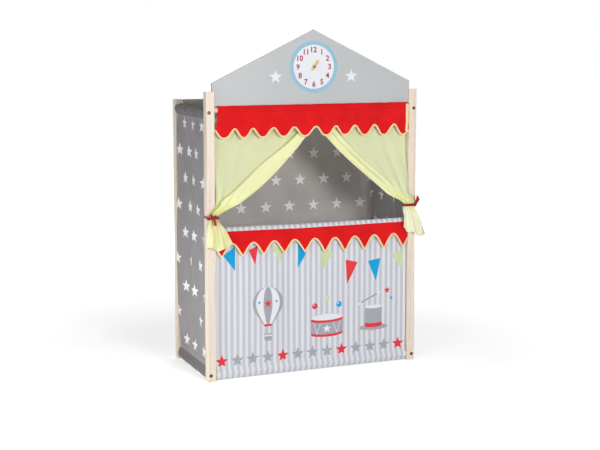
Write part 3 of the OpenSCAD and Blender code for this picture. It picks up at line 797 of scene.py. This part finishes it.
def curtain_mark(s, v, total, band, folded, pleated):
    """The hem attribute: 1 in the leading hem, less over its broad band, and below 0 where shade is
    painted: down in a fold and beside the post."""
    edge = 1 - ease(s, 11, 12.5)
    if pleated:
        inside = 0.85 * (1 - ease(s, band - 1, band + 1))
        # Painted shade: darker in the crease just past the folded band, more near the top and near
        # the tie
        past = s - band - folded
        deep = 0.25 + 0.75 * (1 - ease(v, 0.1, 0.4)) + 0.6 * ease(v, 0.5, 0.9)
        painted_shade = deep * ease(past, -1.5, 0.5) * ease(-past, -7, -2)
    else:
        inside = 0.6 * (1 - ease(s, 36, 64))
        # Painted shade in the soft fold 35 mm from the edge
        painted_shade = 0.45 * swell(s, 35, 3.5) * ease(v, 0.25, 0.4) * ease(-v, -0.85, -0.65)
    # Painted shade beside the post
    painted_shade = max(painted_shade, 0.4 * ease(s, total - 7, total - 1))
    return mix(max(edge, inside), -1, min(1, painted_shade))


def curtain(name, side, bow, neck, tie_z, pleated, seed):
    """Rows run down from the rod to the tie, and columns from the leading edge to the post. bow
    says how late the curtain narrows to its neck, and a pleated one has its leading band folded
    over the rest. The seam is the line of the leading hem's stitches."""
    count, wide, sewn = 150, 291.5, 10
    over_rod = [(-7.2, 0.5)] + [(up, -out) for out, up in arc(5.9, 130, -50, 9)]
    levels = [(0.0, ROD_Z + up, ROD_Y + back) for up, back in over_rod]
    levels += [(v, mix(ROD_Z - 7.5, tie_z + NECK_TOP, v), None) for v in spread(0, 1, 74)]
    levels.append((1.0, tie_z + 0.2, None))

    def point(level, c):
        v, z, rod_y = level
        w = mix(wide, neck, v ** bow)
        size = 1.3 * w / (w + 60) * ease(v, 0, 0.14)
        band = min(mix(26, 67, ease(v, 0.04, 0.55)), 0.86 * w)
        fold = max(0.5, 10 * size)
        folded = fold + 5 * size if pleated else 0.0
        total = w + folded
        s = total * c
        turn = ease(s, band, band + fold)
        x = s - folded * turn
        u = 1 - x / w
        y = drawn_y(z) + 5 * mix(0.06, 0.8, v ** 4) * wave(GATHERS * u)
        y -= 3 * ease(1 - u, 0.32, 0.05) * math.sin(math.pi * v)
        y += 1.3 * ripple(u * 9, z / 210, seed) * ease(v, 0.02, 0.3) * mix(1, 0.4, v)
        if pleated:
            y += size * mix(-4.2, 2.4, turn)
        else:
            y -= 4.5 * size * (1 - ease(s, 36, 64)) * (0.5 + 0.5 * wave(s / 23))
        if rod_y is not None:
            y = rod_y + 0.2 * wave(s / 9)
        return ((side * (trail_at(z, tie_z) - w + x), y, z), (s, z),
                curtain_mark(s, v, total, band, folded, pleated))

    rows, flats, hems = lay_out(levels, spread(0, 1, count), point, side)
    seam = []
    for (v, z, rod_y), row, flat in zip(levels, rows, flats):
        if rod_y is None and 0.01 < v < 0.97:
            at = sewn / max(s for s, z in flat) * count
            a, b = [Vector(row[::side][int(at) + k]) for k in (0, 1)]
            seam.append(tuple(a.lerp(b, at % 1) + Vector(FORWARD) * SEAM_PROUD))
    return cloth(name, rows, flats, lime_cloth, "lime_cloth", hems=hems), seam


def tail(name, side, neck, tie_z, long, inner, wide, flare, lift, material, seed):
    """Curtain below its tie: the fine gathers at the neck open into a few broad, uneven folds. It
    hangs down by long, and its hem is wide across from inner outwards. flare says how late it
    opens at the post and at its inner edge, where lift raises the hem. The seam is the line of
    its hem's stitches."""
    def point(level, u):
        v, start = level
        opened = ease(v, 0.05, 0.55)
        folds = math.cos(2 * math.pi * (2.0 * u + 0.4 * u * u) + seed)
        x = mix(NECK_X - u * neck, inner + (1 - u) * wide, v ** mix(*flare, u))
        hem = tie_z - long + 15 * (2 * u - 1) ** 2 + lift * ease(u, 0.1, 0.7) - 3 * folds
        y = mix(NECK_Y, NECK_Y - 5.5, ease(v, 0, 0.5)) + 16 * ease(x, 324, 354)
        y += 4.6 * (1 - opened) * wave(GATHERS * u)
        y += opened * (5.6 * folds + 1.1 * ripple(u * 7, v * 1.5, seed + 2))
        z = mix(start, hem, v)
        return (side * x, y, z), (u * wide * 1.9, z)

    levels = [(0.0, tie_z - 0.2)] + [(v, tie_z - NECK_TOP) for v in spread(0, 1, 44)]
    rows, flats = lay_out(levels, spread(1, 0, 120), point, side)
    seam = [(x, y - SEAM_PROUD, z) for x, y, z in rows[-4][::side]]
    return cloth(name, rows, flats, material, "lime_cloth"), seam


left_curtain, left_seam = curtain("left_curtain_sheet", -1, 1.45, LEFT_NECK, LEFT_TIE_Z, True, 61)
right_curtain, right_seam = curtain("right_curtain_sheet", 1, 1.18, RIGHT_NECK, RIGHT_TIE_Z,
                                    False, 62)
left_tail, left_tail_seam = tail("left_tail_sheet", -1, LEFT_NECK, LEFT_TIE_Z, 90, 252, 74,
                                 (0.45, 0.85), 0, lime_tail, 63)
right_tail, right_tail_seam = tail("right_tail_sheet", 1, RIGHT_NECK, RIGHT_TIE_Z, 104, 273, 84,
                                   (0.9, 0.5), 22, right_tail_painted_lighter, 64)


# Ribbons that tie the curtains to the posts

def rounded(corners, reach, count=5):
    """Closed line with each corner turned into a short curve."""
    line = []
    for i, p in enumerate(corners):
        p = Vector(p)
        a, b = Vector(corners[i - 1]), Vector(corners[(i + 1) % len(corners)])
        start = p + (a - p).normalized() * min(reach, (a - p).length * 0.45)
        end = p + (b - p).normalized() * min(reach, (b - p).length * 0.45)
        for t in spread(0, 1, count):
            line.append(start.lerp(p, t).lerp(p.lerp(end, t), t))
    return line


def ribbon_band(name, side, neck, tie_z):
    """The ribbon's turn round the post and the curtain's neck, bellied a little over its width."""
    inner, half = NECK_X - 2 - neck, 3.6
    line = rounded([(320.9, -157), (320.9, -128.1), (295.1, -128.1), (inner, -153.7),
                    (inner, -166.9), (316.3, -166.9)], 2.2)
    run = lengths(line)
    middle = Vector((300, -148))
    rows, flats = [], []
    for up in spread(-half, half, 6):
        belly = 0.35 * math.cos(math.pi * up / (2 * half))
        row = []
        for p in line:
            out = (p - middle).normalized()
            row.append((side * (p.x + out.x * belly), p.y + out.y * belly, tie_z + up))
        rows.append(row)
        flats.append([(s, up) for s in run])
    if side > 0:
        rows, flats = rows[::-1], flats[::-1]
    return cloth(name, rows, flats, satin, "ribbon", thick=0.5, closed=True)


def ribbon_knot(name, at):
    """A wrapped knot: a round core with the ribbon drawn over it twice."""
    bpy.ops.object.select_all(action="DESELECT")
    at = Vector(at) * MM
    bpy.ops.mesh.primitive_uv_sphere_add(segments=28, ring_count=16, radius=4.2 * MM, location=at)
    knot = bpy.context.active_object
    bpy.ops.object.mode_set(mode="EDIT")
    bpy.ops.mesh.select_all(action="SELECT")
    bpy.ops.transform.resize(value=(1.25, 0.95, 0.95), center_override=at)
    for shift, major, minor, lean in ((0.0, 3.3, 1.5, 78), (1.8, 2.9, 1.3, 104)):
        bpy.ops.mesh.primitive_torus_add(location=at + Vector((shift, 0, 0)) * MM,
                                         major_segments=32, minor_segments=10,
                                         major_radius=major * MM, minor_radius=minor * MM,
                                         rotation=(0, math.radians(lean), 0))
    bpy.ops.object.mode_set(mode="OBJECT")
    bpy.ops.object.transform_apply(location=True, rotation=True, scale=True)
    knot.name = name
    knot.data.name = name
    knot.data.uv_layers[0].name = "flat"
    knot.data.materials.append(satin)
    smooth(knot)
    return knot


def ribbon_end(name, at, run):
    """Loose end of ribbon, bowed along its length and cut to a swallowtail."""
    at, run = Vector(at), Vector(run)
    across = Vector((-run.z, 0, run.x)).normalized()

    def point(t, k):
        notch = 3.2 * (1 - abs(k)) * ease(t, 0.72, 1.0)
        p = at + run * t - run.normalized() * notch + across * 3.3 * k
        p += Vector(FORWARD) * (1.2 * math.sin(math.pi * t) + 0.5 * (1 - k * k))
        return tuple(p), (k * 4, t * run.length)

    return cloth(name, *lay_out(spread(0, 1, 14), spread(-1, 1, 8), point), satin, "ribbon",
                 thick=0.45)


left_at, right_at = (-306, -170.4, LEFT_TIE_Z), (309, -170.4, RIGHT_TIE_Z)
left_band = ribbon_band("left_ribbon_band", -1, LEFT_NECK, LEFT_TIE_Z)
right_band = ribbon_band("right_ribbon_band", 1, RIGHT_NECK, RIGHT_TIE_Z)
left_knot = ribbon_knot("left_ribbon_knot", left_at)
right_knot = ribbon_knot("right_ribbon_knot", right_at)
left_ends = [ribbon_end("left_ribbon_end_%d" % i, left_at, run)
             for i, run in enumerate([(-12, 0, 13), (-20, 2, -1), (5, -0.5, -22), (8, -1, 8)])]
right_ends = [ribbon_end("right_ribbon_end_%d" % i, right_at, run)
              for i, run in enumerate([(9, 0, 28), (15, 1, 20)])]


# Prints on the gable board

def film(piece, name, ink_material):
    """Names a flat print, gives it its ink and puts its place in its mesh."""
    select_only(piece)
    piece.name = name
    piece.data.name = name
    piece.data.materials.clear()
    piece.data.materials.append(ink_material)
    bpy.ops.object.transform_apply(location=True, rotation=True, scale=True)
    return piece


def board_ring(name, outer, inner, ink_material):
    """Printed ring: a circle inset to a ring, its middle taken out, with a thin wall."""
    sides = 96
    bpy.ops.object.select_all(action="DESELECT")
    bpy.ops.mesh.primitive_circle_add(vertices=sides, radius=outer * MM, fill_type="NGON",
                                      location=(0, (GABLE_Y - 0.1) * MM, CLOCK_Z * MM),
                                      rotation=(math.radians(90), 0, 0))
    ring = bpy.context.active_object
    bpy.ops.object.mode_set(mode="EDIT")
    bpy.ops.mesh.select_all(action="SELECT")
    bpy.ops.mesh.inset(thickness=(outer - inner) * math.cos(math.pi / sides) * MM)
    bpy.ops.mesh.delete(type="FACE")
    bpy.ops.object.mode_set(mode="OBJECT")
    thicken(ring, INK_THICK)
    return film(ring, name, ink_material)


def numerals():
    """The hours 1 to 12, upright and centred on their places round the dial."""
    words = []
    for hour in range(1, 13):
        bpy.ops.object.select_all(action="DESELECT")
        bpy.ops.object.text_add()
        word = bpy.context.active_object
        word.data.body = str(hour)
        word.data.size = 21 * MM
        word.data.offset = 0.55 * MM
        word.data.resolution_u = 5
        word.data.extrude = 0.04 * MM
        bpy.ops.object.convert(target="MESH")
        word = bpy.context.active_object
        turn = math.pi * hour / 6
        reach = [[v.co[axis] for v in word.data.vertices] for axis in (0, 1)]
        middle = [(min(r) + max(r)) / 2 for r in reach]
        word.rotation_euler = (math.radians(90), 0, 0)
        word.location = (NUMERAL_R * MM * math.sin(turn) - middle[0], (GABLE_Y - 0.2) * MM,
                         (CLOCK_Z + NUMERAL_R * math.cos(turn)) * MM - middle[1])
        words.append(word)
    select_only(words[0])
    for word in words:
        word.select_set(True)
    bpy.ops.object.join()
    return film(words[0], "clock_numerals", ink_crimson)


dial_ring = board_ring("clock_ring", 72.0, 61.6, ink_pale_blue)
dial_face = board_ring("clock_face", 61.2, 5.2, ink_white)
dial_numerals = numerals()


# Prints on the front cloth. Each outline is a list of (x, z), seen from the front.

def star_outline(x, z, outer):
    """Five-pointed star."""
    radii = [outer, STAR_DEEP * outer] * 5
    return [(x + r * math.sin(math.pi * k / 5), z + r * math.cos(math.pi * k / 5))
            for k, r in enumerate(radii)]


def oval(x, z, wide, high=None, count=40):
    """Ellipse with these half sizes, or a circle."""
    turns = [2 * math.pi * k / count for k in range(count)]
    return [(x + wide * math.cos(t), z + (high or wide) * math.sin(t)) for t in turns]


def stroke(a, b, wide):
    """Straight bar between two points."""
    way = (Vector(b) - Vector(a)).normalized() * wide / 2
    side = Vector((-way.y, way.x))
    return [tuple(Vector(p) + s * side) for p, s in ((a, 1), (a, -1), (b, -1), (b, 1))]


def front_surface(x, z, lift):
    """Point on the front cloth's outer face."""
    return front_place(x, hanging_wave(x, z, front_wall) + CLOTH_THICK / 2 + lift, z)


def board_surface(x, z, lift):
    return (x, GABLE_Y - lift, z)


def printed(name, outlines, ink_material, slot="stripe_cloth", surface=front_surface, step=2.5):
    """Ink film: each (outline, layer) is filled, cut into a grid fine enough to follow the cloth's
    folds, and laid on it. A higher layer is printed over the lower ones."""
    lowest, apart = 0.12, 0.09
    points, faces = [], []
    for outline, layer in outlines:
        work = bmesh.new()
        work.faces.new([work.verts.new((x, 0, z)) for x, z in outline])
        work.normal_update()
        bmesh.ops.triangulate(work, faces=work.faces)
        for axis, size in ((0, step), (2, 4 * step)):
            reach = [v.co[axis] for v in work.verts]
            across = Vector((0, 0, 0))
            across[axis] = 1
            for k in range(math.ceil(min(reach) / size), math.floor(max(reach) / size) + 1):
                bmesh.ops.bisect_plane(work, geom=work.verts[:] + work.edges[:] + work.faces[:],
                                       dist=0.001, plane_co=across * k * size, plane_no=across)
        bmesh.ops.dissolve_degenerate(work, dist=0.01, edges=work.edges)
        work.verts.index_update()
        first = len(points)
        points += [surface(v.co.x, v.co.z, lowest + apart * layer) for v in work.verts]
        faces += [[first + v.index for v in face.verts] for face in work.faces]
        work.free()
    piece = mesh_piece(name, points, faces, ink_material, slot)
    thicken(piece, INK_THICK)
    smooth(piece, 50)
    return piece


def balloon_half(h):
    """Half width of the balloon h above its mouth."""
    if h < 40:
        return mix(11, 37.9, h / 40)
    return math.sqrt(max(0, 46 ** 2 - (h - 66) ** 2))


def gore(x, z, left, right):
    """One panel of the balloon between two shares of its half width."""
    heights = spread(0, 111.6, 30)
    return ([(x + left * balloon_half(h), z + h) for h in heights]
            + [(x + right * balloon_half(h), z + h) for h in reversed(heights)])


def rim(x, z, wide, high, bulge):
    """Band round a drum or hat, bowed down as seen from a little above."""
    turns = spread(0, math.pi, 24)
    return ([(x - wide * math.cos(t), z - bulge * math.sin(t)) for t in turns]
            + [(x + wide * math.cos(t), z + high - bulge * math.sin(t)) for t in turns])


grey, white, red, blue, green = [], [], [], [], []

# The row of stars along the hem, every fourth one red
for i in range(13):
    (grey if i % 4 else red).append((star_outline(-277 + 45.6 * i, 52, 20), 0))

# Pennants under the counter
for colour, flags in (
        (blue, ([(-271, 349), (-237, 305), (-236, 375)], [(-48, 371), (-48, 299), (-24, 338)],
                [(172, 304), (198, 243), (212, 310)])),
        (red, ([(-197, 360), (-178, 319), (-168, 373)], [(101, 313), (105, 241), (138, 303)])),
        (green, ([(-130, 365), (-100, 320), (-93, 371)], [(23, 346), (26, 285), (64, 337)],
                 [(246, 319), (283, 269), (285, 328)]))):
    colour += [(flag, 0) for flag in flags]

# Balloon, with its band, ropes and basket
BALLOON = (-140, 141)
for left, right, colour in ((-1, -0.78, grey), (-0.78, -0.3, white), (-0.3, 0.3, grey),
                            (0.3, 0.78, white), (0.78, 1, grey)):
    colour.append((gore(*BALLOON, left, right), 0))
red.append((star_outline(-140, 205, 13), 1))
blue += [(star_outline(-166, 210, 5.5), 1), (star_outline(-114, 210, 5.5), 1)]
red.append(([(-152.5, 147), (-127.5, 147), (-129, 140.8), (-151, 140.8)], 1))
grey += [(stroke((high, 139), (low, 121), 1.6), 0)
         for high, low in ((-148, -150), (-132, -130), (-140, -140))]
grey.append(([(-153, 120), (-150, 101), (-148, 99), (-132, 99), (-130, 101), (-127, 120)], 0))
white.append(([(-152, 116), (-151.4, 112), (-128.6, 112), (-128, 116)], 1))

# Drum, with balls thrown up over it
DRUM_X = 42
grey.append((rim(DRUM_X, 102, 50, 48, 9), 0))
white.append((oval(DRUM_X, 150, 50, 9), 0))
red += [(rim(DRUM_X, 143, 50, 7, 9), 1), (rim(DRUM_X, 102, 50, 7, 9), 1)]
white.append((star_outline(DRUM_X, 116.5, 13), 1))
for side in (-1, 1):
    for near in (20, 42):
        ends = [(DRUM_X + side * x, z - 9 * math.sqrt(1 - (x / 50) ** 2))
                for x, z in ((near, 142), (31, 111))]
        white.append((stroke(*ends, 1.6), 1))
for colour, ball in ((red, (4, 185)), (green, (42, 205)), (blue, (80, 185))):
    colour.append((oval(*ball, 8.5), 0))
white += [(oval(x, z, 2.2), 1) for x, z in ((1.5, 188), (39.5, 208), (77.5, 188))]

# Hat, with a wand and stars
HAT_X = 190
grey += [(oval(HAT_X, 108, 46, 9), 0), (rim(HAT_X, 110, 27, 58, 5), 1)]
white.append((oval(HAT_X, 168, 27, 5), 1))
red.append((rim(HAT_X, 112, 27.3, 12, 5), 2))
grey.append((stroke((140, 178), (212, 210), 5), 0))
white += [(stroke((140, 178), (151, 182.9), 5.4), 1), (stroke((201, 205.1), (212, 210), 5.4), 1)]
for colour, star in ((red, (233, 214, 11)), (green, (226, 187, 8)), (blue, (247, 190, 6.5))):
    colour.append((star_outline(*star), 0))

prints = [printed("print_" + name, outlines, ink_material) for name, outlines, ink_material in
          (("grey", grey, ink_grey), ("white", white, ink_white), ("red", red, ink_red),
           ("blue", blue, ink_blue), ("green", green, ink_green))]
prints.append(printed("gable_stars", [(star_outline(x, 838, 20), 0) for x in (-115, 115)],
                      ink_white, "gable_print", board_surface, 40))


# Seams

def along_x(half, place):
    """Points of a seam from side to side, 2 mm apart."""
    return [place(x) for x in spread(-half, half, round(half))]


def wall_seam(name, wall, z, facing=FORWARD):
    """Stitches across a wall cloth at one height."""
    line = along_x(wall.half - 2, lambda x: wall.place(
        x, hanging_wave(x, z, wall) + CLOTH_THICK / 2, z))
    return stitches(name, line, facing, thread_white, wall.slot)


def counter_valance_seam(x):
    z = counter_top(x) - 3.5
    return (x, RAIL_Y - counter_valance_out(x, z) - CLOTH_THICK / 2, z)


def top_valance_seam(x):
    return (x, RAIL_Y - top_valance_skirt(x, SLEEVE_SEAM_Z) - CLOTH_THICK / 2, SLEEVE_SEAM_Z)


seams = [
    stitches("counter_valance_stitches", along_x(VALANCE_HALF - 1, counter_valance_seam),
             FORWARD, thread_red, "red_cloth"),
    stitches("top_valance_stitches", along_x(VALANCE_HALF - 9, top_valance_seam),
             FORWARD, thread_red, "red_cloth"),
    wall_seam("front_cloth_stitches", front_wall, BOTTOM_Z + SEAM_IN),
    wall_seam("backdrop_stitches", back_wall, BACK_LOW_Z + SEAM_IN),
]
for name, wall, way in (("left", left_wall, -1), ("right", right_wall, 1)):
    for height, z in (("top", SIDE_Z - SEAM_IN), ("low", BOTTOM_Z + SEAM_IN)):
        seams.append(wall_seam("side_cloth_%s_%s_stitches" % (name, height), wall, z,
                               (way, 0, 0)))

# Stitches along the hems of the tails and the curtains; the tails' seams stay with the frame
tail_seams, curtain_seams = [
    [stitches("%s_%s_stitches" % (side, part), line, FORWARD, thread_lime, "lime_cloth")
     for side, line in (("left", left), ("right", right))]
    for part, left, right in (("tail", left_tail_seam, right_tail_seam),
                              ("curtain", left_seam, right_seam))]


# Camera and studio

camera = bpy.data.objects.new("camera", bpy.data.cameras.new("camera"))
scene.collection.objects.link(camera)
camera.location = (-1.3575, -3.2643, 0.9397)
camera.rotation_euler = (math.radians(83.7), 0, math.radians(-22.86))
camera.data.lens = 72.98
camera.data.sensor_width = 36
camera.data.shift_y = -0.0848
scene.camera = camera
scene.view_settings.view_transform = "Standard"


def looked_at(tree):
    """1 for rays that the camera sees, directly or in metal and glass, and 0 for those that light
    the object."""
    path = add(tree, "LightPath").outputs
    reflected = add(tree, "Math", {0: path["Is Glossy Ray"], 1: path["Is Transmission Ray"]},
                    operation="MAXIMUM")
    return add(tree, "Math", {0: path["Is Camera Ray"], 1: reflected}, operation="MAXIMUM")


bpy.ops.mesh.primitive_plane_add(size=14, location=(0, 0, 0))
floor = bpy.context.active_object
floor.name = "studio_floor"
floor_paper, tree, shader = start_material("white_paper_floor")
feed(tree, shader, {"Base Color": "#f4f4f4", "Roughness": 0.9, "Specular IOR Level": 0.0})
away = add(tree, "VectorMath", {0: add(tree, "TexCoord").outputs["Object"]}, operation="LENGTH")
paper = add(tree, "MapRange", {"Value": away, "From Min": 0.6, "From Max": 2.2,
                               "To Min": 0.5, "To Max": 1.0})
lift = add(tree, "Math", {0: looked_at(tree), 1: paper}, operation="MULTIPLY")
glow = add(tree, "Emission", {"Color": (1, 1, 1, 1), "Strength": lift})
both = add(tree, "AddShader", {0: shader, 1: glow})
feed(tree, tree.nodes["Material Output"], {"Surface": both})
floor.data.materials.append(floor_paper)

world = bpy.data.worlds.new("white_studio")
scene.world = world
world.use_nodes = True
tree = world.node_tree
strength = add(tree, "MapRange", {"Value": looked_at(tree), "To Min": 0.17, "To Max": 1.0})
feed(tree, tree.nodes["Background"], {"Color": (1, 1, 1, 1), "Strength": strength})


def soft_light(name, place, aim, size, watts):
    """A round softbox, size across, at place and turned to aim."""
    light = bpy.data.lights.new(name, "AREA")
    light.shape = "DISK"
    light.size = size
    light.energy = watts
    lamp = bpy.data.objects.new(name, light)
    lamp.location = place
    lamp.visible_camera = False
    lamp.rotation_euler = (Vector(aim) - Vector(place)).to_track_quat("-Z", "Y").to_euler()
    scene.collection.objects.link(lamp)


soft_light("front_softbox", (0.25, -3.2, 1.1), (0, 0, 0.6), 0.8, 41)
soft_light("left_softbox", (-2.4, -1.9, 1.2), (0, 0, 0.5), 2.0, 21)
soft_light("low_softbox", (-0.8, -0.2, 0.16), (-0.31, 0, 0.2), 0.3, 1.25)
soft_light("top_softbox", (0.1, -1.0, 2.9), (0, 0, 0.5), 1.2, 5)
soft_light("back_softbox", (1.5, 2.6, 1.3), (0, 0, 0.5), 1.8, 30)


# Pieces that move with the frame, and the CAD parts that the cloths stand in for

for piece, node in ((front_cloth, "front_cloth"), (back_cloth, "back_cloth"),
                    (left_cloth, "side_cloth_left"), (right_cloth, "side_cloth_right"),
                    (top_valance_cloth, "top_valance"),
                    (counter_valance_cloth, "counter_valance"),
                    (left_tail, "curtain_tail_left"), (right_tail, "curtain_tail_right"),
                    (left_band, "tie_left"), (right_band, "tie_right")):
    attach(piece, "frame")
    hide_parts(node)
for piece in [top_binding, edge_binding, counter_binding, flap_left, flap_right, left_knot,
              right_knot, *left_ends, *right_ends, dial_ring, dial_face, dial_numerals, *prints,
              *seams, *tail_seams]:
    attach(piece, "frame")
for pieces, body, side in (((left_curtain, curtain_seams[0]), "left_curtain", -1),
                           ((right_curtain, curtain_seams[1]), "right_curtain", 1)):
    for piece in pieces:
        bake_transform(piece)
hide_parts("curtain_left")
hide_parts("curtain_right")

for piece, rails in ((left_cloth, ["side_rail_top_left", "side_rail_bottom_left"]),
                     (right_cloth, ["side_rail_top_right", "side_rail_bottom_right"])):
    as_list(rails)
